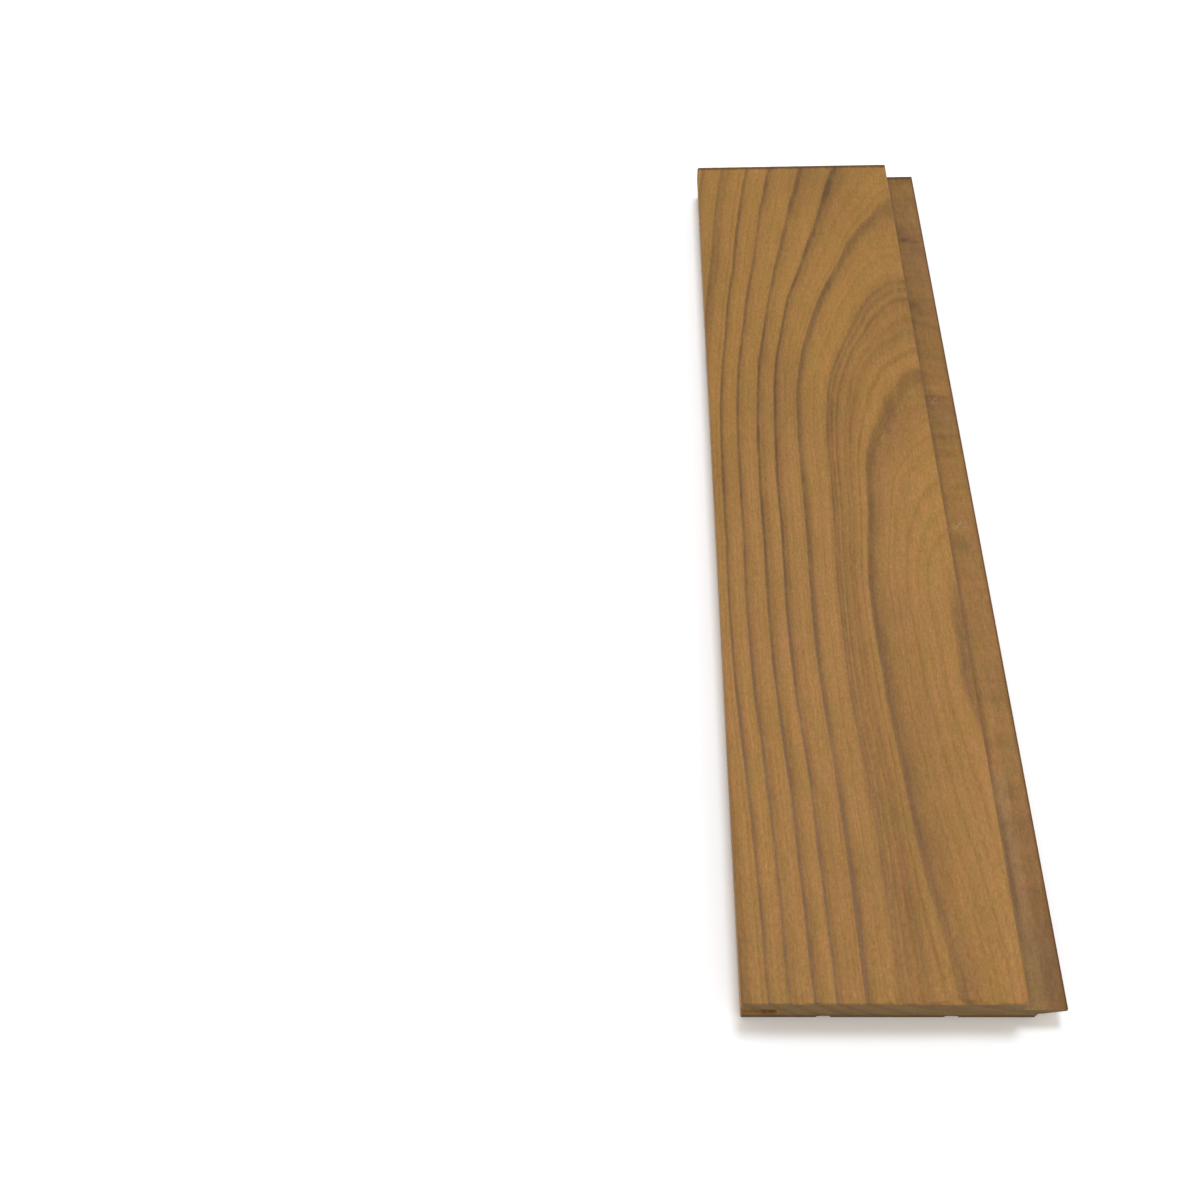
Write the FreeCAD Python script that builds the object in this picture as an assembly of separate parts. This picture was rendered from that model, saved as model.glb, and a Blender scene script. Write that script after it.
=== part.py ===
import FreeCAD, Part
import math
import os

# Tongue and groove board: one planed length of softwood that lies on its back.
# Millimetres. +Z up through the face, +Y along the grain, tongue towards +X, groove towards -X.
# The origin is the middle of the rectangle that the board covers, at the level of its back.

# Sizes of the blank
board_length = 446.0
board_thickness = 20.0
face_width = 102.0

# Sizes of the joint with the next board
reveal_width = 6.0           # channel that shows between two laid faces
tongue_drop = 8.4            # from the face down to the tongue's top
tongue_thickness = 6.0
tongue_length = 9.0          # from the lower shoulder to the tip
lower_lip_setback = 1.0      # the lower lip stands back, so only it meets the shoulder
groove_side_clearance = 0.2  # above and below the next board's tongue
groove_floor_clearance = 4.0  # past the tip of the next board's tongue

# Sizes of the edges
face_arris_radius = 0.8
back_arris_radius = 0.5
groove_mouth_radius = 0.4
groove_floor_radius = 0.6
tongue_top_radius = 0.6
tongue_lead_in = 2.0         # chamfer under the tongue's tip

# Sizes of the two relief grooves in the back, which keep the board from cupping
relief_width = 5.0
relief_depth = 2.0
relief_spacing = 47.0
relief_floor_radius = 1.0

# Levels of the joint
tongue_top = board_thickness - tongue_drop
tongue_bottom = tongue_top - tongue_thickness
groove_roof = tongue_top + groove_side_clearance
groove_sill = tongue_bottom - groove_side_clearance

# Distances across the board, from the edge of the upper lip
lower_shoulder = face_width + reveal_width + lower_lip_setback
tongue_tip = lower_shoulder + tongue_length
groove_floor = lower_lip_setback + tongue_length + groove_floor_clearance
back_middle = (lower_lip_setback + lower_shoulder) / 2


def section_point(across, level):
    """A point of the section, at the board's near end."""
    return FreeCAD.Vector(across - tongue_tip / 2, -board_length / 2, level)


def relief_groove(middle):
    """The corners of one relief groove, as (across, level, radius)."""
    near_wall = middle - relief_width / 2
    far_wall = middle + relief_width / 2
    return [
        (near_wall, 0, 0),
        (near_wall, relief_depth, relief_floor_radius),
        (far_wall, relief_depth, relief_floor_radius),
        (far_wall, 0, 0),
    ]


def section_corners():
    """The section's corners in order, from the lower lip along the back to the tongue and over the face."""
    lower_lip = [(lower_lip_setback, 0, back_arris_radius)]
    back = relief_groove(back_middle - relief_spacing / 2) + relief_groove(back_middle + relief_spacing / 2)
    tongue = [
        (lower_shoulder, 0, back_arris_radius),
        (lower_shoulder, tongue_bottom, 0),
        (tongue_tip - tongue_lead_in, tongue_bottom, 0),
        (tongue_tip, tongue_bottom + tongue_lead_in, 0),
        (tongue_tip, tongue_top, tongue_top_radius),
        (face_width, tongue_top, 0),
    ]
    face = [
        (face_width, board_thickness, face_arris_radius),
        (0, board_thickness, face_arris_radius),
    ]
    groove = [
        (0, groove_roof, groove_mouth_radius),
        (groove_floor, groove_roof, groove_floor_radius),
        (groove_floor, groove_sill, groove_floor_radius),
        (lower_lip_setback, groove_sill, groove_mouth_radius),
    ]
    return lower_lip + back + tongue + face + groove


def eased_corner(before, corner, after, radius):
    """The start, middle and end of the arc that eases a corner."""
    towards_before = (before - corner).normalize()
    towards_after = (after - corner).normalize()
    half_angle = towards_before.getAngle(towards_after) / 2
    run = radius / math.tan(half_angle)
    inward = (towards_before + towards_after).normalize()
    centre = corner + inward * (radius / math.sin(half_angle))
    return corner + towards_before * run, centre - inward * radius, corner + towards_after * run


def section_wire():
    """The closed outline of the section, with lines between its eased corners."""
    corners = section_corners()
    points = [section_point(across, level) for across, level, radius in corners]
    eased = []
    for index, (across, level, radius) in enumerate(corners):
        after = points[(index + 1) % len(points)]
        eased.append(eased_corner(points[index - 1], points[index], after, radius))
    edges = []
    for index, (start, middle, end) in enumerate(eased):
        if corners[index][2] > 0:
            edges.append(Part.Arc(start, middle, end).toShape())
        next_start = eased[(index + 1) % len(eased)][0]
        edges.append(Part.makeLine(end, next_start))
    return Part.Wire(edges)


def tongue_and_groove_board():
    """The planed section, run through the whole length."""
    return Part.Face(section_wire()).extrude(FreeCAD.Vector(0, board_length, 0))


os.makedirs("parts", exist_ok=True)
board = tongue_and_groove_board()
board.exportStep("parts/tongue_and_groove_board.step")
box = board.BoundBox
print("board", round(box.XLength, 3), round(box.YLength, 3), round(box.ZLength, 3), "mm")
print("valid", board.isValid(), "volume", round(board.Volume / 1000, 2), "cm3")
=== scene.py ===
import math

import bmesh
import bpy
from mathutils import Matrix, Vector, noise


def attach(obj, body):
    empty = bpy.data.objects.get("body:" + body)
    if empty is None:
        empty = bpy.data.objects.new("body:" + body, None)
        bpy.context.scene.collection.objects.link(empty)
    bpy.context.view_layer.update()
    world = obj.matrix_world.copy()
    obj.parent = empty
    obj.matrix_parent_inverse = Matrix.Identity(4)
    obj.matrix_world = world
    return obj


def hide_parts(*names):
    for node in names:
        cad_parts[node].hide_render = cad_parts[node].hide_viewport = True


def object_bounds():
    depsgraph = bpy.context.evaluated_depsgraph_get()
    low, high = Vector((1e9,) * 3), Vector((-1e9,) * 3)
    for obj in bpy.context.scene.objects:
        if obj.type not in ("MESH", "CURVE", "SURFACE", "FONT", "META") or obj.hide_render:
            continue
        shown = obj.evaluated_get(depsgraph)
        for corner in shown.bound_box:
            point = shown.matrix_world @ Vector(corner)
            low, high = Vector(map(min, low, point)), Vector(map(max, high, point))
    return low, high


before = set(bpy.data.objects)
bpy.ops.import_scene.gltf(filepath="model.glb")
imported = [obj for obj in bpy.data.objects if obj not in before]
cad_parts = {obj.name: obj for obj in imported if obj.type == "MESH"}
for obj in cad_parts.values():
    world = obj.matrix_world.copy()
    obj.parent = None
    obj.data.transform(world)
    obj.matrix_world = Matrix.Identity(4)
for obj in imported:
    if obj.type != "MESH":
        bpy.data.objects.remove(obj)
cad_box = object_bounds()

bl_info = {
    "name": "Tongue and Groove Board",
    "version": (1, 0, 0),
    "blender": (4, 5, 0),
    "location": "3D View > Sidebar > Board",
    "description": "One planed length of heat-treated pine with a tongue and a groove, on a pale floor",
    "category": "Object",
}

# Names and units
NODE = "tongue_and_groove_board"
MM = 0.001
CAD_LOW, CAD_HIGH = cad_box

# Stage
FLOOR_REACH = 4.0
FLOOR_GAP = 0.05 * MM
FLOOR_MOTTLE = 83.333 * MM
LAMP_SIZE = 0.55
LAMP_PLACE = (0.05, 0.5, 2.05)
PICTURE_WIDTH = 1200
SENSOR_WIDTH = 36.0
CLIP_START = 10 * MM


def linear(hex_colour):
    """An sRGB hex colour as linear red, green, blue."""
    parts = [int(hex_colour[i:i + 2], 16) / 255 for i in (1, 3, 5)]
    return tuple(c / 12.92 if c <= 0.04045 else ((c + 0.055) / 1.055) ** 2.4 for c in parts)


def length_prop(name, description, default):
    """A size in metres that a user may change."""
    return bpy.props.FloatProperty(
        name=name, description=description, default=default, min=0.0,
        precision=4, subtype="DISTANCE", unit="LENGTH",
    )


def colour_prop(name, description, default):
    """A colour that a user may change."""
    return bpy.props.FloatVectorProperty(
        name=name, description=description, default=linear(default), min=0.0, max=1.0,
        size=3, subtype="COLOR",
    )


class BoardSizes(bpy.types.PropertyGroup):
    """The board's section and length."""

    length: length_prop("Length", "Along the grain", CAD_HIGH.y - CAD_LOW.y)
    thickness: length_prop("Thickness", "From back to face", CAD_HIGH.z - CAD_LOW.z)
    face_width: length_prop("Face Width", "Across the visible face", 102 * MM)
    reveal_width: length_prop("Reveal", "Channel between two laid faces", 6 * MM)
    tongue_drop: length_prop("Tongue Drop", "From the face to the tongue's top", 8.4 * MM)
    tongue_thickness: length_prop("Tongue Thickness", "From the tongue's top to its underside", 6 * MM)
    tongue_length: length_prop("Tongue Length", "From the lower shoulder to the tip", 9 * MM)
    tongue_slope_run: length_prop("Tongue Slope Run", "Part of the underside that slopes to the tip", 8 * MM)
    tongue_slope_rise: length_prop("Tongue Slope Rise", "How far the underside climbs to the tip", 4.4 * MM)
    lip_setback: length_prop("Lower Lip Setback", "How far the lower lip stands back", 1 * MM)
    groove_side: length_prop("Groove Side Room", "Above and below a tongue in the groove", 0.2 * MM)
    groove_end: length_prop("Groove End Room", "Past the tip of a tongue in the groove", 4 * MM)
    relief_width: length_prop("Relief Width", "Width of each groove in the back", 5 * MM)
    relief_depth: length_prop("Relief Depth", "Depth of each groove in the back", 2 * MM)
    relief_spacing: length_prop("Relief Spacing", "Between the two grooves in the back", 47 * MM)
    face_arris: length_prop("Face Arris", "Radius of the face's long edges", 0.8 * MM)
    back_arris: length_prop("Back Arris", "Radius of the back's long edges", 0.5 * MM)
    groove_mouth: length_prop("Groove Mouth", "Radius of the groove's lips", 0.4 * MM)
    inner_corner: length_prop("Inner Corner", "Radius in the floor of the groove", 0.6 * MM)
    tongue_arris: length_prop("Tongue Arris", "Radius along the tongue's tip", 0.3 * MM)
    relief_corner: length_prop("Relief Corner", "Radius in the grooves of the back", 1 * MM)
    end_arris: length_prop("End Arris", "Chamfer that the saw leaves round each end", 0.2 * MM)


class WoodColours(bpy.types.PropertyGroup):
    """The tones of the heat-treated pine."""

    earlywood: colour_prop("Earlywood", "The pale wood between the lines", "#946c39")
    golden_earlywood: colour_prop("Golden Earlywood", "The pale wood where it looks yellower", "#906932")
    latewood: colour_prop("Latewood", "The dark line that ends each year", "#604521")
    grey_latewood: colour_prop("Grey Latewood", "The line where it looks lilac grey", "#705233")
    shade: colour_prop("Shade", "The brown that leads up to a line", "#7b572e")
    streak: colour_prop("Streak", "The warm streaks inside a year", "#7c5625")
    rubbed: colour_prop("Rubbed Tongue", "The grey strip along the tongue's root", "#8f6f46")
    torn: colour_prop("Torn Grain", "Pale flecks where the cutter tore the wood", "#aa865a")
    end_grain: colour_prop("End Grain", "The sawn ends", "#725933")
    # Dark brown for the lines along the far end and the tongue's tip, and for the painted shade at the foot
    # of the ends
    dark_edge_and_foot_shade: colour_prop("Dark_Edge_And_Foot_Shade", "The darkest edges", "#4b3018")


class StageSettings(bpy.types.PropertyGroup):
    """The floor, the light and the camera."""

    floor: colour_prop("Floor", "The floor's colour", "#fdfdfc")
    sky: bpy.props.FloatProperty(
        name="Sky", description="Strength of the even light from all round", default=0.86, min=0.0)
    sky_colour: colour_prop("Sky Colour", "Warm, as the light inside a room is", "#fffbf5")
    lamp: bpy.props.FloatProperty(
        name="Lamp", description="Power of the soft lamp", default=21.5, min=0.0, unit="POWER")
    lamp_colour: colour_prop("Lamp Colour", "A little cool, which makes up for the sky", "#ebf2ff")
    focal_pixels: bpy.props.FloatProperty(
        name="Focal Length", description="In pixels of a 1200 pixel wide picture", default=1220.3)
    camera_place: bpy.props.FloatVectorProperty(
        name="Camera Place", description="Where the camera stands", size=3,
        default=(-97.11 * MM, -327.07 * MM, 467.34 * MM), subtype="TRANSLATION", unit="LENGTH")
    camera_turn: bpy.props.FloatVectorProperty(
        name="Camera Turn", description="How the camera is turned", size=3,
        default=(math.radians(31.4302), math.radians(1.4918), math.radians(0.3708)),
        subtype="EULER", unit="ROTATION")


# Shape of the board

ARC_STEPS = 4
COLUMN = 1.5 * MM
ROW = 6 * MM
SAME_PLACE = 0.02 * MM
SAME_CUT = 0.001 * MM
RIM_ANGLE = 0.3
SHARP_ANGLE = math.radians(32)

# Where the saw tore the front end's upper edge: middle, run to the left, run to the right, depth
FRONT_TEARS = (
    (22 * MM, 24 * MM, 15 * MM, 1.6 * MM),
    (43 * MM, 3 * MM, 2 * MM, 1.4 * MM),
    (-31 * MM, 3 * MM, 4 * MM, 0.5 * MM),
    (-6 * MM, 4 * MM, 3 * MM, 0.45 * MM),
)
TEAR_TAPER = 1.4
TEAR_DROP = 0.6

# Wear of the sawn edges: mean depth, then the run, depth and place in the noise of coarse and of fine wear
FRAY_MEAN = 0.16 * MM
FRAY_WAVES = (
    (4 * MM, 0.22 * MM, 0),
    (1.3 * MM, 0.12 * MM, 7),
)
FRAY_DROP = 0.4
UPPER_SEED = 3


def relief_groove(middle, s):
    """The corners of one groove in the back, as (across, level, radius)."""
    near = middle - s.relief_width / 2
    far = middle + s.relief_width / 2
    return [
        (near, 0, 0),
        (near, s.relief_depth, s.relief_corner),
        (far, s.relief_depth, s.relief_corner),
        (far, 0, 0),
    ]


def section_corners(s):
    """The section's corners in order, as (across, level, radius), across from the upper lip's edge."""
    tongue_top = s.thickness - s.tongue_drop
    tongue_bottom = tongue_top - s.tongue_thickness
    shoulder = s.face_width + s.reveal_width + s.lip_setback
    tip = shoulder + s.tongue_length
    groove_floor = s.lip_setback + s.tongue_length + s.groove_end
    middle = (s.lip_setback + shoulder) / 2
    back = [(s.lip_setback, 0, s.back_arris)]
    back += relief_groove(middle - s.relief_spacing / 2, s)
    back += relief_groove(middle + s.relief_spacing / 2, s)
    back += [(shoulder, 0, s.back_arris)]
    tongue = [
        (shoulder, tongue_bottom, 0),
        (tip - s.tongue_slope_run, tongue_bottom, 0),
        (tip, tongue_bottom + s.tongue_slope_rise, 0),
        (tip, tongue_top, s.tongue_arris),
        (s.face_width, tongue_top, 0),
    ]
    face = [(s.face_width, s.thickness, s.face_arris), (0, s.thickness, s.face_arris)]
    groove = [
        (0, tongue_top + s.groove_side, s.groove_mouth),
        (groove_floor, tongue_top + s.groove_side, s.inner_corner),
        (groove_floor, tongue_bottom - s.groove_side, s.inner_corner),
        (s.lip_setback, tongue_bottom - s.groove_side, s.groove_mouth),
    ]
    return back + tongue + face + groove


def section_face(bm, s):
    """The flat section at the front end, with its corners eased."""
    corners = section_corners(s)
    half_width = max(across for across, level, radius in corners) / 2
    points = [bm.verts.new((across - half_width, -s.length / 2, level)) for across, level, radius in corners]
    bm.faces.new(points)
    for size in sorted({radius for across, level, radius in corners if radius > 0}):
        bmesh.ops.bevel(
            bm, geom=[p for p, corner in zip(points, corners) if corner[2] == size],
            offset=size, offset_type="OFFSET", affect="VERTICES",
            segments=ARC_STEPS, profile=0.5, material=-1,
        )
    return bm.faces[:]


def tear_depth(x):
    """How deep the front end's upper edge is torn at a place across the board."""
    depth = 0.0
    for middle, left, right, deepest in FRONT_TEARS:
        run = left if x < middle else right
        near = max(0.0, 1 - abs(x - middle) / run)
        depth = max(depth, deepest * near ** TEAR_TAPER)
    return depth


def fray(x, level, seed):
    """The small wear of a sawn edge, from none to about a third of a millimetre."""
    depth = FRAY_MEAN
    for run, swing, place in FRAY_WAVES:
        depth += swing * noise.noise((x / run, level / run, seed + place))
    return max(0.0, depth)


def wear_ends(bm, s):
    """Frays the sawn edges round both ends and tears the front one."""
    half = s.length / 2
    for vert in bm.verts:
        x, y, z = vert.co
        inward = 1 if y < 0 else -1
        beside_end = abs(abs(y) - (half - s.end_arris)) < SAME_PLACE
        on_end = abs(abs(y) - half) < SAME_PLACE
        on_rim = on_end and any(
            len(edge.link_faces) > 1 and edge.calc_face_angle(0) > RIM_ANGLE for edge in vert.link_edges
        )
        upper = z > s.thickness - 2 * s.face_arris
        tear = tear_depth(x) if upper and y < 0 else 0.0
        if beside_end:
            vert.co.y += inward * (fray(x, z, inward) + tear)
        elif on_rim and upper:
            vert.co.z -= TEAR_DROP * tear + FRAY_DROP * fray(x, z, inward + UPPER_SEED)


def board_mesh(s):
    """The whole board as one closed mesh."""
    bm = bmesh.new()
    section = section_face(bm, s)
    run = bmesh.ops.extrude_face_region(bm, geom=section)
    moved = [part for part in run["geom"] if isinstance(part, bmesh.types.BMVert)]
    bmesh.ops.translate(bm, verts=moved, vec=(0, s.length, 0))
    bmesh.ops.recalc_face_normals(bm, faces=bm.faces)
    outline = [e for e in bm.edges if abs(e.verts[0].co.y - e.verts[1].co.y) < MM]
    bmesh.ops.bevel(
        bm, geom=outline, offset=s.end_arris, offset_type="OFFSET", affect="EDGES",
        segments=1, profile=0.5, material=-1,
    )
    long_edges = [e for e in bm.edges if e.calc_length() > s.length / 2]
    bmesh.ops.subdivide_edges(bm, edges=long_edges, cuts=round(s.length / ROW), use_grid_fill=True)
    half_width = (CAD_HIGH.x - CAD_LOW.x) / 2
    columns = int(2 * half_width / COLUMN)
    for step in range(1, columns):
        cut = -half_width + step * COLUMN
        bmesh.ops.bisect_plane(
            bm, geom=bm.verts[:] + bm.edges[:] + bm.faces[:], dist=SAME_CUT,
            plane_co=(cut, 0, 0), plane_no=(1, 0, 0),
        )
    wear_ends(bm, s)
    for face in bm.faces:
        face.smooth = True
    mesh = bpy.data.meshes.new("planed_board")
    bm.to_mesh(mesh)
    bm.free()
    mesh.set_sharp_from_angle(angle=SHARP_ANGLE)
    return mesh


# Wood, with places and distances in millimetres

# The years' lines: distance of the darkest place from the heart, run and strength of the shade inside it,
# width and strength of the dark core
YEAR_LINES = (
    (36.2, 1.6, 0.45, 1.5, 0.55),
    (55.6, 6.0, 0.80, 2.4, 0.55),
    (61.1, 1.8, 0.40, 0.6, 0.28),
    (64.9, 8.0, 0.50, 0.6, 0.42),
    (66.4, 1.5, 0.50, 0.6, 0.42),
    (67.6, 10.0, 0.60, 0.7, 0.55),
    (78.0, 3.6, 0.75, 1.5, 0.72),
    (87.7, 4.6, 0.80, 0.9, 1.00),
    (95.0, 4.2, 0.80, 1.1, 0.92),
    (103.2, 3.8, 0.80, 1.1, 0.80),
    (110.3, 3.2, 0.75, 1.1, 0.80),
    (119.3, 6.0, 0.80, 1.7, 0.55),
    (127.2, 3.0, 0.70, 1.1, 0.60),
    (134.2, 3.5, 0.70, 1.1, 0.65),
)

# A core starts and ends over these shares of its width, and ends over this distance at least
CORE_START = 1.4
CORE_END = 0.45
CORE_LEAST_END = 0.3

# How the heart leaves the board: place along the length and squared distance
HEART_RUN = (
    (-223, -240), (-150, -225), (-85, -400), (-20, 0), (45, 560), (110, 2160), (165, 4080), (223, 5575),
)
HEART_LOW = -1000
HEART_HIGH = 6000
HEART_ACROSS = 47.3
HEART_DRIFT = -0.034
HEART_CORE = 1600

# How the lines lean through the thickness: squared distance for each millimetre, from the front end backwards
FACE_LEVEL = 20.0
LEAN_FRONT, LEAN_BEHIND = -223.0, -100.0
LEAN_STEEP, LEAN_SLIGHT = 130.0, 20.0

# How far the lines stray
LINE_WANDER = {"wander": 1.2, "waver": 0.9, "feather": 0.6}

# Swells in the years' lines: middle, reach, squared distance
SWELLS = (
    ((45, 60, 20), (45, 80, 60), 510),
    ((25, -220, 20), (25, 80, 60), 565),
    ((45, 200, 20), (25, 45, 60), -400),
    ((25, 40, 20), (25, 45, 60), 160),
    ((25, -40, 20), (45, 45, 60), -185),
    ((-45, 180, 20), (45, 80, 60), -445),
    ((25, 160, 20), (25, 45, 60), -160),
    ((-15, 80, 20), (25, 80, 60), -245),
)

# Places where the lines turn darker, or fainter where the strength is negative: middle, reach, strength
DARK_STREAKS = (
    ((9, 204, 20), (6, 15, 12), 1.2),
    ((5, -185, 20), (6, 45, 12), 0.8),
    ((-13, -184, 20), (5, 26, 12), 0.5),
    ((36, 186, 20), (22, 26, 6), -0.3),
    ((38, 131, 20), (12, 12, 6), -0.4),
    ((40, 62, 20), (20, 26, 6), -0.5),
    ((18, 35, 20), (6, 26, 6), -0.3),
    ((42, -48, 20), (10, 22, 6), -0.5),
    ((42, -86, 20), (10, 24, 6), 0.4),
    ((20, -214, 20), (16, 46, 12), -0.5),
)

# Beats of growth for each millimetre from the heart
GROWTH_BEATS = 0.62

# How much each kind of mark changes the tone, and the tints that small patches lean to
WOOD_TONES = {"fibres": 0.07, "pores": 0.13, "grit": 0.11, "bundles": 0.06, "mottle": 0.05, "drift": 0.05}
OLIVE_TINT = (0.952, 1.02, 0.99, 1)
ROSE_TINT = (1.048, 0.98, 1.01, 1)
GOLD_TINT = (1.01, 1.0, 0.91, 1)
DULL_TINT = (0.99, 1.0, 1.09, 1)

# Slow clouds in the tone of the face and the tongue, with one line of painted shade: middle, reach, share
CLOUDS = (
    ((2, 214, 20), (28, 34, 25), -0.15),
    ((14, 185, 20), (32, 36, 25), -0.07),
    ((-54, 150, 20), (16, 34, 25), -0.08),
    ((-24, 62, 20), (22, 46, 25), -0.11),
    ((-56, 12, 20), (14, 42, 25), -0.12),
    ((15, -112, 20), (20, 95, 25), -0.11),
    ((38, -8, 20), (14, 66, 12), 0.07),
    ((41, -170, 20), (7, 70, 8), 0.09),
    ((-40, -165, 20), (24, 50, 25), 0.03),
    ((16, -60, 20), (8, 14, 10), -0.07),
    ((20.5, -166, 20), (5, 26, 10), -0.10),
    ((8, -175, 20), (10, 60, 12), -0.07),
    ((52, 223, 11.6), (18, 11, 6), -0.42),
    ((52, 203, 11.6), (16, 16, 6), -0.10),
    ((48.5, 173.2, 11.6), (5, 2.6, 5), -0.42),
    ((54.5, 171.4, 11.6), (5, 2.2, 5), -0.26),
    ((48, 126, 11.6), (5, 3.4, 5), -0.30),
    ((50, 119, 11.6), (6, 3.2, 5), -0.16),
    ((49.3, -110, 11.6), (3, 60, 5), 0.16),
    # Painted shade along the tongue's root, against the face's shoulder
    ((46.9, -175, 11.6), (1.7, 45, 4), -0.28),
    ((52.6, -140, 11.6), (1.3, 9, 4), -0.16),
    ((50.5, -198, 11.6), (5, 12, 5), -0.14),
    ((51, 64, 11.6), (12, 3, 5), -0.18),
    ((51, 40, 11.6), (12, 3, 5), -0.14),
)

# Stains across the tongue: middle, reach, strength
TONGUE_STAINS = (
    ((55, -172, 11.6), (6, 64, 8), 0.4),
    ((57.5, -214, 11.6), (9.5, 42, 10), 1.2),
    ((51, -22, 11), (12, 10, 6), 0.30),
    ((51, 52, 11), (12, 8, 6), 0.25),
    ((52, 165, 11), (16, 75, 9), 0.42),
)
# The most that a stain or the painted corner shade darkens the tongue
DEEPEST_STAIN_AND_SHADE = 0.6

# Where the planed face ends and the tongue's wood begins, across the board
FACE_EDGE, TONGUE_EDGE = 43.2, 43.6

# Pale flecks where the cutter tore the tongue: middle, reach, strength
TORN_FLECKS = (
    ((49, 62, 11.6), (6, 4, 4), 1.0),
    ((51, -11, 11.6), (7, 4, 4), 1.0),
)

# Marks of the wood: sizes across, along and through in millimetres, and how many finer sizes are laid on top.
# Fibres and pores are drawn coarser than real ones, which are 0.03 mm wide, so that they show.
WOOD_MARKS = {
    "wander": ((45, 120, 45), 1.0),
    "waver": ((9, 40, 9), 1.0),
    "feather": ((0.9, 14, 0.9), 2.0),
    "waxing": ((14, 38, 14), 2.5),
    "breaks": ((2.4, 9, 2.4), 2.0),
    "fibres": ((0.4, 7, 0.4), 3.0),
    "pores": ((0.8, 2.8, 0.8), 2.5),
    "grit": ((0.9, 1.0, 0.9), 1.5),
    "bundles": ((1.6, 32, 1.6), 2.0),
    "mottle": ((7, 18, 7), 3.0),
    "drift": ((30, 90, 30), 2.5),
    "dashes": ((0.45, 4.5, 0.45), 1.0),
    "chatter_and_tongue_shade": ((30, 5, 30), 3.0),
    "saw": ((50, 1, 0.7), 2.0),
    "tears": ((1.2, 0.9, 1.2), 1.0),
}

# A mark lies almost all within this range, and the sum of two marks within the second one
MARK_LOW, MARK_HIGH = 0.25, 0.75
PAIR_LOW, PAIR_HIGH = 0.75, 1.25

# Sockets that share their names with others: the ends of a range, and the colours and outcome of a mix
LOW, HIGH, AT_LOW, AT_HIGH = 1, 2, 3, 4
FIRST, SECOND, MIXED = 6, 7, 2


def add(tree, kind, inputs, take=0, **settings):
    """Adds a node, gives it its settings and inputs, and returns one of its outputs if it has any."""
    made = tree.nodes.new("ShaderNode" + kind)
    for name, value in settings.items():
        setattr(made, name, value)
    for socket, value in inputs.items():
        if isinstance(value, bpy.types.NodeSocket):
            tree.links.new(value, made.inputs[socket])
        else:
            made.inputs[socket].default_value = value
    return made.outputs[take] if made.outputs else None


def wood_marks(tree, place):
    """The marks of the wood by name, each about 0.5 with a spread of 0.1."""
    marks = {}
    for name, (size, detail) in WOOD_MARKS.items():
        spread = add(tree, "VectorMath", {0: place, 1: size}, operation="DIVIDE")
        marks[name] = add(tree, "TexNoise", {
            "Vector": spread, "Scale": 1.0, "Detail": detail, "Roughness": 0.55, "Distortion": 0.5,
        })
    return marks


def patch(tree, place, middle, reach, strength):
    """A soft patch that is strongest at its middle."""
    offset = add(tree, "VectorMath", {0: place, 1: middle}, operation="SUBTRACT")
    scaled = add(tree, "VectorMath", {0: offset, 1: reach}, operation="DIVIDE")
    away = add(tree, "VectorMath", {0: scaled}, take="Value", operation="LENGTH")
    return add(tree, "MapRange", {0: away, AT_LOW: float(strength), AT_HIGH: 0.0},
               interpolation_type="SMOOTHSTEP")


def lay_patches(tree, place, value, table, operation):
    """Lays the soft patches of a table over a value."""
    for middle, reach, strength in table:
        laid = patch(tree, place, middle, reach, strength)
        value = add(tree, "Math", {0: value, 1: laid}, operation=operation)
    return value


def heart_distance(tree, place, marks):
    """How far a point of the wood lies from the tree's heart, with the lines' wander."""
    across, along, level = add(tree, "SeparateXYZ", {0: place}).node.outputs
    heart = add(tree, "Math", {0: along, 1: HEART_DRIFT, 2: HEART_ACROSS}, operation="MULTIPLY_ADD")
    side = add(tree, "Math", {0: heart, 1: across}, operation="SUBTRACT")
    side_squared = add(tree, "Math", {0: side, 1: side}, operation="MULTIPLY")
    first, last = HEART_RUN[0][0], HEART_RUN[-1][0]
    share = add(tree, "MapRange", {0: along, LOW: float(first), HIGH: float(last)})
    run = add(tree, "FloatCurve", {"Factor": 1.0, "Value": share})
    points = run.node.mapping.curves[0].points
    while len(points) < len(HEART_RUN):
        points.new(0.5, 0.5)
    for point, (y, squared) in zip(points, HEART_RUN):
        point.location = ((y - first) / (last - first), (squared - HEART_LOW) / (HEART_HIGH - HEART_LOW))
    run.node.mapping.update()
    rise = add(tree, "Math", {0: run, 1: float(HEART_HIGH - HEART_LOW), 2: float(HEART_LOW + HEART_CORE)},
               operation="MULTIPLY_ADD")
    depth = add(tree, "Math", {0: FACE_LEVEL, 1: level}, operation="SUBTRACT")
    lean = add(tree, "MapRange", {
        0: along, LOW: LEAN_FRONT, HIGH: LEAN_BEHIND, AT_LOW: LEAN_STEEP, AT_HIGH: LEAN_SLIGHT,
    }, interpolation_type="SMOOTHSTEP")
    sunk = add(tree, "Math", {0: depth, 1: lean, 2: rise}, operation="MULTIPLY_ADD")
    squared = add(tree, "Math", {0: side_squared, 1: sunk})
    squared = lay_patches(tree, place, squared, SWELLS, "ADD")
    clean = add(tree, "Math", {0: squared, 1: 0.0}, operation="MAXIMUM")
    distance = add(tree, "Math", {0: clean}, operation="SQRT")
    for name, reach in LINE_WANDER.items():
        centred = add(tree, "Math", {0: marks[name], 1: 0.5}, operation="SUBTRACT")
        distance = add(tree, "Math", {0: centred, 1: reach, 2: distance}, operation="MULTIPLY_ADD")
    return distance


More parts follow.
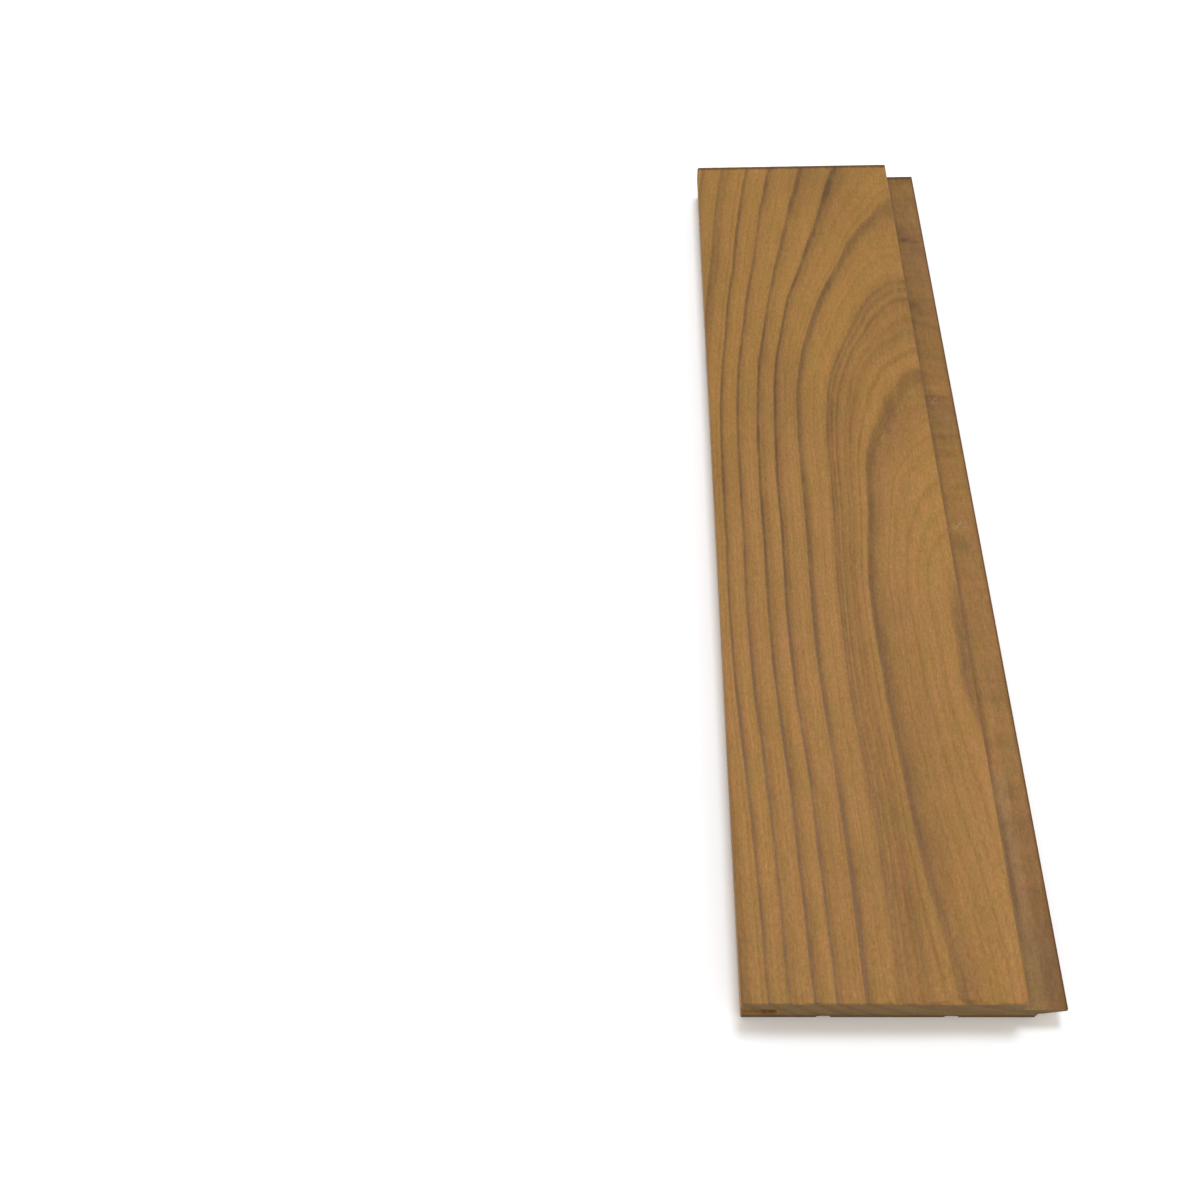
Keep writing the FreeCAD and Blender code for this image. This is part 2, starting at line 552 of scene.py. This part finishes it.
def year_lines(tree, distance):
    """The dark cores and the shade of the years' lines, as two values from 0 to 1."""
    cores = 0.0
    shades = 0.0
    for darkest, shade_run, shade_strength, core, core_strength in YEAR_LINES:
        start = darkest - CORE_START * core
        end = darkest + CORE_LEAST_END + CORE_END * core
        rise = add(tree, "MapRange", {0: distance, LOW: start, HIGH: darkest, AT_HIGH: core_strength},
                   interpolation_type="SMOOTHSTEP")
        fall = add(tree, "MapRange", {0: distance, LOW: darkest, HIGH: end, AT_LOW: 1.0, AT_HIGH: 0.0},
                   interpolation_type="SMOOTHSTEP")
        lead = add(tree, "MapRange", {
            0: distance, LOW: darkest - shade_run, HIGH: darkest, AT_HIGH: shade_strength,
        })
        dark = add(tree, "Math", {0: rise, 1: fall}, operation="MULTIPLY")
        shade = add(tree, "Math", {0: lead, 1: fall}, operation="MULTIPLY")
        cores = add(tree, "Math", {0: cores, 1: dark}, operation="MAXIMUM")
        shades = add(tree, "Math", {0: shades, 1: shade}, operation="MAXIMUM")
    return cores, shades


def line_strength(tree, place, marks, on_tongue):
    """How strong the lines are: they come and go, and are fainter towards both ends and on the tongue."""
    along = add(tree, "SeparateXYZ", {0: place}, take="Y")
    strength = add(tree, "MapRange", {0: marks["waxing"], LOW: 0.3, HIGH: 0.7, AT_LOW: 0.63, AT_HIGH: 1.3})
    strength = lay_patches(tree, place, strength, DARK_STREAKS, "ADD")
    for factor in (
        add(tree, "MapRange", {0: marks["breaks"], LOW: 0.3, HIGH: 0.7, AT_LOW: 0.75, AT_HIGH: 1.25}),
        add(tree, "MapRange", {0: along, LOW: 60.0, HIGH: 150.0, AT_LOW: 1.0, AT_HIGH: 0.8}),
        add(tree, "MapRange", {0: along, LOW: -90.0, HIGH: -170.0, AT_LOW: 1.0, AT_HIGH: 0.9}),
        add(tree, "MapRange", {0: on_tongue, AT_LOW: 1.0, AT_HIGH: 0.45}),
    ):
        strength = add(tree, "Math", {0: strength, 1: factor}, operation="MULTIPLY")
    return strength


def growth_lines(tree, distance, marks, on_tongue):
    """The beat of growth inside a year, and the fine lines that it draws, clearest near the heart."""
    stretched = add(tree, "Math", {0: distance, 1: GROWTH_BEATS}, operation="MULTIPLY")
    beat = add(tree, "TexNoise", {"W": stretched, "Scale": 1.0, "Detail": 2.0, "Roughness": 0.6},
               noise_dimensions="1D")
    growth = add(tree, "MapRange", {0: beat, LOW: 0.5, HIGH: 0.75, AT_HIGH: 0.5})
    for factor in (
        add(tree, "MapRange", {0: distance, LOW: 42.0, HIGH: 54.0, AT_LOW: 0.5, AT_HIGH: 1.0}),
        add(tree, "MapRange", {0: distance, LOW: 62.0, HIGH: 72.0, AT_LOW: 1.0, AT_HIGH: 0.55}),
        add(tree, "MapRange", {0: marks["breaks"], LOW: 0.4, HIGH: 0.6, AT_LOW: 0.5, AT_HIGH: 1.1}),
        add(tree, "MapRange", {0: on_tongue, AT_LOW: 1.0, AT_HIGH: 0.25}),
    ):
        growth = add(tree, "Math", {0: growth, 1: factor}, operation="MULTIPLY")
    return beat, growth


def lined_wood(tree, c, along, marks, dark, shaded, growth):
    """The colour from the pale wood to the lines, greyer lines in front and golden wood behind."""
    toward_back = add(tree, "MapRange", {0: along, LOW: -60.0, HIGH: 90.0})
    gold_drift = add(tree, "MapRange", {0: marks["drift"], LOW: 0.3, HIGH: 0.7, AT_LOW: -0.4, AT_HIGH: 0.4})
    golden = add(tree, "Math", {0: toward_back, 1: gold_drift}, use_clamp=True)
    pale = add(tree, "Mix", {0: golden, FIRST: (*c.earlywood, 1), SECOND: (*c.golden_earlywood, 1)},
               take=MIXED, data_type="RGBA")
    browned = add(tree, "Mix", {0: shaded, FIRST: pale, SECOND: (*c.shade, 1)}, take=MIXED, data_type="RGBA")
    grown = add(tree, "Mix", {0: growth, FIRST: browned, SECOND: (*c.streak, 1)},
                take=MIXED, data_type="RGBA")
    greyness = add(tree, "MapRange", {0: along, LOW: -20.0, HIGH: -160.0})
    line_colour = add(tree, "Mix", {0: greyness, FIRST: (*c.latewood, 1), SECOND: (*c.grey_latewood, 1)},
                      take=MIXED, data_type="RGBA")
    lined = add(tree, "Mix", {0: dark, FIRST: grown, SECOND: line_colour}, take=MIXED, data_type="RGBA")
    dash = add(tree, "MapRange", {0: marks["dashes"], LOW: 0.64, HIGH: 0.76, AT_HIGH: 0.25})
    return add(tree, "Mix", {0: dash, FIRST: lined, SECOND: (*c.latewood, 1)}, take=MIXED, data_type="RGBA")


def worked_tongue(tree, c, place, marks, on_tongue, wood):
    """The tongue's wood: stained here and there, with painted shade in the corner against the face's
    shoulder, rubbed grey along its root, browned at its tip and torn.
    """
    across, along, level = add(tree, "SeparateXYZ", {0: place}).node.outputs
    stain_and_corner_shade = lay_patches(tree, place, 0.0, TONGUE_STAINS, "MAXIMUM")
    # Painted shade on the tongue beside the face's shoulder, where the shoulder shades it
    painted_corner_shade = add(tree, "MapRange", {0: across, LOW: 46.2, HIGH: 47.6, AT_LOW: 0.5, AT_HIGH: 0.0})
    stain_and_corner_shade = add(tree, "Math", {0: stain_and_corner_shade, 1: painted_corner_shade}, operation="MAXIMUM")
    stain_and_corner_shade = add(tree, "Math", {0: stain_and_corner_shade, 1: DEEPEST_STAIN_AND_SHADE}, operation="MINIMUM")
    stain_and_corner_shade = add(tree, "Math", {0: stain_and_corner_shade, 1: on_tongue}, operation="MULTIPLY")
    stained_and_corner_shaded = add(tree, "Mix", {0: stain_and_corner_shade, FIRST: wood, SECOND: (*c.grey_latewood, 1)},
                  take=MIXED, data_type="RGBA")
    beside_root = add(tree, "MapRange", {0: across, LOW: 50.8, HIGH: 52.2, AT_LOW: 0.6, AT_HIGH: 0.0})
    rubbed_run = add(tree, "MapRange", {0: along, LOW: -134.0, HIGH: -131.0, AT_LOW: 1.0, AT_HIGH: 0.0})
    rubbed = add(tree, "Math", {0: beside_root, 1: rubbed_run}, operation="MULTIPLY")
    rubbed = add(tree, "Math", {0: rubbed, 1: on_tongue}, operation="MULTIPLY")
    greyed = add(tree, "Mix", {0: rubbed, FIRST: stained_and_corner_shaded, SECOND: (*c.rubbed, 1)},
                 take=MIXED, data_type="RGBA")
    near_tip = add(tree, "MapRange", {0: across, LOW: 56.6, HIGH: 57.8, AT_HIGH: 0.4})
    tipped = add(tree, "Mix", {0: near_tip, FIRST: greyed, SECOND: (*c.streak, 1)},
                 take=MIXED, data_type="RGBA")
    torn = lay_patches(tree, place, 0.0, TORN_FLECKS, "MAXIMUM")
    torn_spots = add(tree, "MapRange", {0: marks["tears"], LOW: 0.5, HIGH: 0.6, AT_HIGH: 0.7})
    torn = add(tree, "Math", {0: torn, 1: torn_spots}, operation="MULTIPLY")
    return add(tree, "Mix", {0: torn, FIRST: tipped, SECOND: (*c.torn, 1)}, take=MIXED, data_type="RGBA")


def wood_tone(tree, place, marks, beat, on_tongue):
    """How fibres, pores, slow clouds and the cutter's marks lighten and darken the wood, with the tongue
    drawn darker overall, partly as painted shade.
    """
    # On the tongue: the cutter's chatter bands, and a painted shade that darkens the whole tongue by about a
    # tenth, where the higher face shades it
    chatter_and_tongue_shade = add(tree, "MapRange", {
        0: marks["chatter_and_tongue_shade"], LOW: MARK_LOW, HIGH: MARK_HIGH, AT_LOW: 0.80, AT_HIGH: 0.99,
    })
    tone = add(tree, "MapRange", {0: on_tongue, AT_LOW: 1.0, AT_HIGH: chatter_and_tongue_shade})
    for name, spread in WOOD_TONES.items():
        factor = add(tree, "MapRange", {
            0: marks[name], LOW: MARK_LOW, HIGH: MARK_HIGH, AT_LOW: 1 - spread, AT_HIGH: 1 + spread,
        })
        tone = add(tree, "Math", {0: tone, 1: factor}, operation="MULTIPLY")
    streaks = add(tree, "MapRange", {0: beat, LOW: MARK_LOW, HIGH: MARK_HIGH, AT_LOW: 1.05, AT_HIGH: 0.95})
    tone = add(tree, "Math", {0: tone, 1: streaks}, operation="MULTIPLY")
    for middle, reach, share in CLOUDS:
        cloud = patch(tree, place, middle, reach, share)
        tone = add(tree, "Math", {0: tone, 1: cloud, 2: tone}, operation="MULTIPLY_ADD")
    return tone


def wood_tint(tree, marks, on_tongue):
    """Small patches lean to rose or to olive, and streaks to gold or to grey."""
    lean = add(tree, "Math", {0: marks["mottle"], 1: marks["breaks"]})
    rosiness = add(tree, "MapRange", {0: lean, LOW: PAIR_LOW, HIGH: PAIR_HIGH})
    tint = add(tree, "Mix", {0: rosiness, FIRST: OLIVE_TINT, SECOND: ROSE_TINT}, take=MIXED, data_type="RGBA")
    gilding = add(tree, "Math", {0: marks["bundles"], 1: marks["mottle"]})
    dullness = add(tree, "MapRange", {0: gilding, LOW: PAIR_LOW, HIGH: PAIR_HIGH})
    dullness = add(tree, "Math", {0: on_tongue, 1: 0.6, 2: dullness}, operation="MULTIPLY_ADD")
    gilt = add(tree, "Mix", {0: dullness, FIRST: GOLD_TINT, SECOND: DULL_TINT},
               take=MIXED, data_type="RGBA", clamp_factor=False)
    return add(tree, "VectorMath", {0: tint, 1: gilt}, operation="MULTIPLY")


def sawn_end(tree, c, marks, shades, tint_tone):
    """The colour of the sawn ends: duller and darker, with the years' lines and the saw's marks."""
    end_dark = add(tree, "Math", {0: shades, 1: 0.75}, operation="MULTIPLY")
    end_lined = add(tree, "Mix", {0: end_dark, FIRST: (*c.end_grain, 1), SECOND: (*c.latewood, 1)},
                    take=MIXED, data_type="RGBA")
    saw_tone = add(tree, "MapRange", {
        0: marks["saw"], LOW: MARK_LOW, HIGH: MARK_HIGH, AT_LOW: 0.86, AT_HIGH: 1.14,
    })
    sawn_tone = add(tree, "VectorMath", {0: tint_tone, "Scale": saw_tone}, operation="SCALE")
    return add(tree, "VectorMath", {0: end_lined, 1: sawn_tone}, operation="MULTIPLY")


def dark_edge_and_foot_shade_share(tree, place, marks, end_share):
    """Where the colour is darkest: a dark line along the far end and along the tongue's tip, and painted
    shade at the foot of the ends, next to the floor.
    """
    across, along, level = add(tree, "SeparateXYZ", {0: place}).node.outputs
    ragged = add(tree, "Math", {0: marks["breaks"], 1: 2.0, 2: along}, operation="MULTIPLY_ADD")
    far_line = add(tree, "MapRange", {0: ragged, LOW: 221.2, HIGH: 222.3, AT_HIGH: 0.75})
    tip_line = add(tree, "MapRange", {0: across, LOW: 57.9, HIGH: 58.5, AT_HIGH: 0.7})
    edge_line = add(tree, "Math", {0: far_line, 1: tip_line}, operation="MAXIMUM")
    # Painted shade at the foot of both ends, darkest where they meet the floor
    painted_end_foot_shade = add(tree, "MapRange", {0: level, LOW: 0.5, HIGH: 5.0, AT_LOW: 0.95, AT_HIGH: 0.0})
    return add(tree, "MapRange", {0: end_share, AT_LOW: edge_line, AT_HIGH: painted_end_foot_shade})


def heat_treated_pine(c):
    """Heat-treated pine, planed and left bare."""
    # The heat turns pale pine brown all through, and the planer leaves it smooth and dull. To the eye it
    # is warm brown earlywood between dark lilac-brown lines, with fine fibres along the length and dull
    # darker ends.
    material = bpy.data.materials.new("heat_treated_pine_planed")
    material.use_nodes = True
    tree = material.node_tree
    tree.nodes.clear()
    metres = add(tree, "TexCoord", {}, take="Object")
    place = add(tree, "VectorMath", {0: metres, "Scale": 1 / MM}, operation="SCALE")
    across, along, level = add(tree, "SeparateXYZ", {0: place}).node.outputs
    marks = wood_marks(tree, place)

    # The tongue is cut by a moulding head, past the planed face's edge
    on_tongue = add(tree, "MapRange", {0: across, LOW: FACE_EDGE, HIGH: TONGUE_EDGE})

    # Lines of the years and of the growth inside them
    distance = heart_distance(tree, place, marks)
    cores, shades = year_lines(tree, distance)
    strength = line_strength(tree, place, marks, on_tongue)
    dark = add(tree, "Math", {0: cores, 1: strength}, operation="MULTIPLY", use_clamp=True)
    shaded = add(tree, "Math", {0: shades, 1: strength}, operation="MULTIPLY", use_clamp=True)
    beat, growth = growth_lines(tree, distance, marks, on_tongue)

    # Colour of the planed wood, of the sawn ends, of the darkest edges and of the painted shade at the foot
    # of the ends
    lined = lined_wood(tree, c, along, marks, dark, shaded, growth)
    worked = worked_tongue(tree, c, place, marks, on_tongue, lined)
    tone = wood_tone(tree, place, marks, beat, on_tongue)
    tint = wood_tint(tree, marks, on_tongue)
    tint_tone = add(tree, "VectorMath", {0: tint, "Scale": tone}, operation="SCALE")
    toned = add(tree, "VectorMath", {0: worked, 1: tint_tone}, operation="MULTIPLY")
    normal = add(tree, "TexCoord", {}, take="Normal")
    facing = add(tree, "Math", {0: add(tree, "SeparateXYZ", {0: normal}, take="Y")}, operation="ABSOLUTE")
    end_share = add(tree, "MapRange", {0: facing, LOW: 0.45, HIGH: 0.8})
    end_toned = sawn_end(tree, c, marks, shades, tint_tone)
    surfaced = add(tree, "Mix", {0: end_share, FIRST: toned, SECOND: end_toned}, take=MIXED, data_type="RGBA")
    dark_edged_and_foot_shaded = dark_edge_and_foot_shade_share(tree, place, marks, end_share)
    colour = add(tree, "Mix", {0: dark_edged_and_foot_shaded, FIRST: surfaced, SECOND: (*c.dark_edge_and_foot_shade, 1)},
                 take=MIXED, data_type="RGBA")

    # Dull where the wood is soft, a little smoother on the dark lines, which stand a little proud
    rough = add(tree, "MapRange", {0: dark, AT_LOW: 0.66, AT_HIGH: 0.52})
    rough = add(tree, "MapRange", {0: end_share, AT_LOW: rough, AT_HIGH: 0.8})
    height = add(tree, "Math", {0: marks["fibres"], 1: 0.5, 2: dark}, operation="MULTIPLY_ADD")
    bump = add(tree, "Bump", {"Strength": 0.35, "Distance": 0.12 * MM, "Height": height})
    shader = add(tree, "BsdfPrincipled", {
        "Base Color": colour, "Roughness": rough, "Normal": bump, "IOR": 1.5, "Specular IOR Level": 0.2,
    })
    add(tree, "OutputMaterial", {"Surface": shader})
    return material


class BOARD_OT_board(bpy.types.Operator):
    """Models the board and gives it its wood"""

    bl_idname = "board.make_board"
    bl_label = "Make the Board"

    def execute(self, context):
        mesh = board_mesh(context.scene.board_sizes)
        mesh.materials.append(heat_treated_pine(context.scene.board_colours))
        board = bpy.data.objects.new("planed_board", mesh)
        context.scene.collection.objects.link(board)
        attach(board, "root")
        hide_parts(NODE)
        return {"FINISHED"}


def pale_floor_paint(colour):
    """Matte white paint, rolled on."""
    # To the eye it is plain, dull and even, with the faintest mottle
    material = bpy.data.materials.new("matte_white_paint_rolled")
    material.use_nodes = True
    tree = material.node_tree
    tree.nodes.clear()
    metres = add(tree, "TexCoord", {}, take="Object")
    mottle = add(tree, "TexNoise", {"Vector": metres, "Scale": 1 / FLOOR_MOTTLE, "Detail": 2.0})
    tone = add(tree, "MapRange", {0: mottle, AT_LOW: 0.985, AT_HIGH: 1.0})
    painted = add(tree, "VectorMath", {0: tuple(colour), "Scale": tone}, operation="SCALE")
    shader = add(tree, "BsdfPrincipled", {"Base Color": painted, "Roughness": 0.9, "Specular IOR Level": 0.1})
    add(tree, "OutputMaterial", {"Surface": shader})
    return material


class BOARD_OT_stage(bpy.types.Operator):
    """Lays the floor and sets up the light and the camera"""

    bl_idname = "board.make_stage"
    bl_label = "Make the Stage"

    def execute(self, context):
        scene = context.scene
        s = scene.board_stage
        bm = bmesh.new()
        bmesh.ops.create_grid(bm, x_segments=1, y_segments=1, size=FLOOR_REACH)
        bmesh.ops.translate(bm, verts=bm.verts, vec=(0, 0, -FLOOR_GAP))
        mesh = bpy.data.meshes.new("floor")
        bm.to_mesh(mesh)
        bm.free()
        mesh.materials.append(pale_floor_paint(s.floor))
        floor = bpy.data.objects.new("floor", mesh)
        scene.collection.objects.link(floor)

        world = bpy.data.worlds.new("even_sky")
        world.use_nodes = True
        sky = world.node_tree.nodes["Background"]
        sky.inputs["Color"].default_value = (*s.sky_colour, 1)
        sky.inputs["Strength"].default_value = s.sky
        scene.world = world

        lamp = bpy.data.lights.new("soft_lamp", "AREA")
        lamp.shape = "DISK"
        lamp.size = LAMP_SIZE
        lamp.energy = s.lamp
        lamp.color = s.lamp_colour
        lamp_object = bpy.data.objects.new("soft_lamp", lamp)
        lamp_object.location = LAMP_PLACE
        lamp_object.rotation_euler = (-lamp_object.location).to_track_quat("-Z", "Y").to_euler()
        scene.collection.objects.link(lamp_object)

        lens = bpy.data.cameras.new("camera")
        lens.sensor_width = SENSOR_WIDTH
        lens.lens = SENSOR_WIDTH * s.focal_pixels / PICTURE_WIDTH
        lens.clip_start = CLIP_START
        camera = bpy.data.objects.new("camera", lens)
        camera.location = s.camera_place
        camera.rotation_euler = s.camera_turn
        scene.collection.objects.link(camera)
        scene.camera = camera
        scene.view_settings.view_transform = "Standard"
        return {"FINISHED"}


class BOARD_PT_panel(bpy.types.Panel):
    """Lists the sizes, colours and stage settings"""

    bl_idname = "BOARD_PT_panel"
    bl_label = "Tongue and Groove Board"
    bl_space_type = "VIEW_3D"
    bl_region_type = "UI"
    bl_category = "Board"

    def draw(self, context):
        scene = context.scene
        for group in (scene.board_sizes, scene.board_colours, scene.board_stage):
            box = self.layout.box()
            for name in group.bl_rna.properties.keys():
                if name not in ("rna_type", "name"):
                    box.prop(group, name)
        self.layout.operator(BOARD_OT_board.bl_idname)
        self.layout.operator(BOARD_OT_stage.bl_idname)


CLASSES = (BoardSizes, WoodColours, StageSettings, BOARD_OT_board, BOARD_OT_stage, BOARD_PT_panel)


def register():
    """Registers the classes and gives the scene its settings."""
    for cls in CLASSES:
        bpy.utils.register_class(cls)
    bpy.types.Scene.board_sizes = bpy.props.PointerProperty(type=BoardSizes)
    bpy.types.Scene.board_colours = bpy.props.PointerProperty(type=WoodColours)
    bpy.types.Scene.board_stage = bpy.props.PointerProperty(type=StageSettings)


def unregister():
    """Takes the settings and the classes away again."""
    del bpy.types.Scene.board_stage
    del bpy.types.Scene.board_colours
    del bpy.types.Scene.board_sizes
    for cls in reversed(CLASSES):
        bpy.utils.unregister_class(cls)


def main():
    """Makes the board and its stage."""
    register()
    bpy.ops.board.make_board()
    bpy.ops.board.make_stage()


if __name__ == "__main__":
    main()
